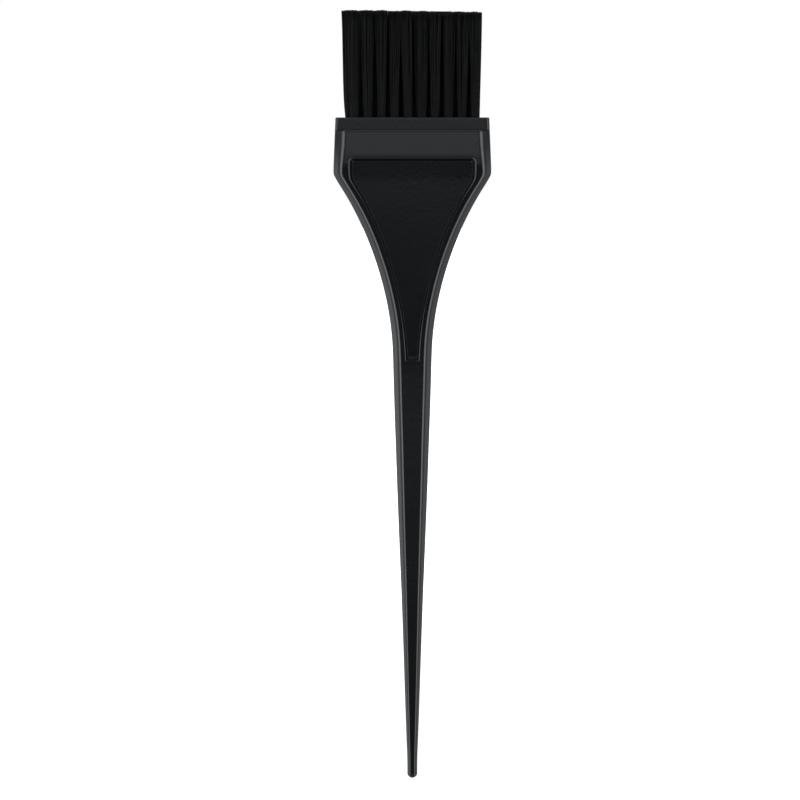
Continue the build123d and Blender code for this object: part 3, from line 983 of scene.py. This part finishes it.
# Near the camera's line: radiance by degrees of elevation
ELEVATIONS = (-60, -30, -12, -8, -5.5, -3, 4, 12, 30, 60)
FRONT = (0.1, 0.8, 0.3, 0.17, 0, 0.34, 0.9, 1, 0.6, 0.15)
FRONT_SPREAD = math.radians(12)
BAND_HEIGHT = math.radians(35)  # elevation at which LOW and HIGH take over fully
EVEN_START, EVEN_RUN = math.radians(38), math.radians(14)  # fade to the even white
EVEN_LEVEL = 0.5
RAMP_SCALE = 20.0  # keeps the ramp colours below 1
COOL_WHITE = (0.95, 1.0, 1.04, 1)


def radiance_ramp(g, name, angle, degrees, values):
    """Radiance against an angle from -90 to 90 degrees, in straight runs."""
    share = g.calc("ADD", g.calc("MULTIPLY", angle, 1 / math.pi), 0.5)
    node = g.add("ValToRGB", {0: share}, name=name)
    band = node.color_ramp
    band.interpolation = "LINEAR"
    while len(band.elements) > 1:
        band.elements.remove(band.elements[-1])
    for k, (degree, value) in enumerate(zip(degrees, values)):
        position = 0.5 + degree / 180
        stop = band.elements[0] if k == 0 else band.elements.new(position)
        stop.position = position
        stop.color = (value / RAMP_SCALE,) * 3 + (1,)
    return g.calc("MULTIPLY", node.outputs[0], RAMP_SCALE)


def studio_level(g):
    """The studio's radiance in the direction looked at."""
    place = g.add("TexCoord").outputs["Generated"]
    x, y, z = g.add("SeparateXYZ", {0: place}).outputs
    azimuth = g.calc("ARCTAN2", x, g.calc("MAXIMUM", g.calc("ABSOLUTE", y), 1e-5))
    elevation = g.calc("ARCSINE", g.calc("MULTIPLY", z, 0.99999))

    up = g.calc("MULTIPLY", elevation, 1 / BAND_HEIGHT)
    is_high = g.unit(up)
    is_low = g.unit(g.calc("MULTIPLY", up, -1.0))
    is_mid = g.calc("SUBTRACT", g.calc("SUBTRACT", 1.0, is_high), is_low)
    aside = g.calc("DIVIDE", g.calc("ABSOLUTE", azimuth), FRONT_SPREAD)
    fore = g.calc("MAXIMUM", g.calc("SUBTRACT", 1.0, aside), 0.0)
    front = radiance_ramp(g, "front", elevation, ELEVATIONS, FRONT)
    level = g.calc("MULTIPLY", front, fore)
    for name, values, mask in (
        ("low", LOW, is_low), ("mid", MID, is_mid), ("high", HIGH, is_high),
    ):
        ramp = radiance_ramp(g, name, azimuth, AZIMUTHS, values)
        level = g.calc("ADD", level, g.calc("MULTIPLY", ramp, mask))

    # overhead and underfoot the room is an even soft white
    beyond = g.calc("SUBTRACT", g.calc("ABSOLUTE", elevation), EVEN_START)
    even = g.unit(g.calc("MULTIPLY", beyond, 1 / EVEN_RUN))
    level = g.calc("MULTIPLY", level, g.calc("SUBTRACT", 1.0, even))
    return g.calc("ADD", level, g.calc("MULTIPLY", even, EVEN_LEVEL))


def build_world():
    """The studio, which the camera itself sees as plain white."""
    world = bpy.data.worlds.new("studio")
    scene.world = world
    world.use_nodes = True
    g = Graph(world.node_tree)
    seen = g.add("Background", {"Color": (1, 1, 1, 1), "Strength": 1.0})
    lit = g.add("Background", {"Color": COOL_WHITE, "Strength": studio_level(g)})
    is_camera = g.add("LightPath").outputs["Is Camera Ray"]
    mixed = g.add("MixShader", {0: is_camera, 1: lit.outputs[0], 2: seen.outputs[0]})
    g.add("OutputWorld", {"Surface": mixed.outputs[0]})


CAMERA_TARGET = Vector((-3.45 * MM, 0.0, 106.04 * MM))
CAMERA_DISTANCE = 1.9
CAMERA_ELEVATION = math.radians(1.75)
VIEW_HEIGHT = 0.2241  # height of the view at the target
SENSOR = 36.0


def build_camera():
    data = bpy.data.cameras.new("camera")
    camera = bpy.data.objects.new("camera", data)
    scene.collection.objects.link(camera)
    scene.camera = camera
    towards = Vector((0, -math.cos(CAMERA_ELEVATION), math.sin(CAMERA_ELEVATION)))
    camera.location = CAMERA_TARGET + towards * CAMERA_DISTANCE
    camera.rotation_mode = "QUATERNION"
    look = CAMERA_TARGET - camera.location
    camera.rotation_quaternion = look.to_track_quat("-Z", "Y")
    data.sensor_width = SENSOR
    data.lens = SENSOR * CAMERA_DISTANCE / VIEW_HEIGHT
    data.clip_start, data.clip_end = 0.05, 100


build_floor()
build_top_light()
build_world()
scene.view_settings.view_transform = "Standard"
scene.view_settings.look = "None"
scene.view_settings.exposure = 0.0
scene.view_settings.gamma = 1.0
build_camera()
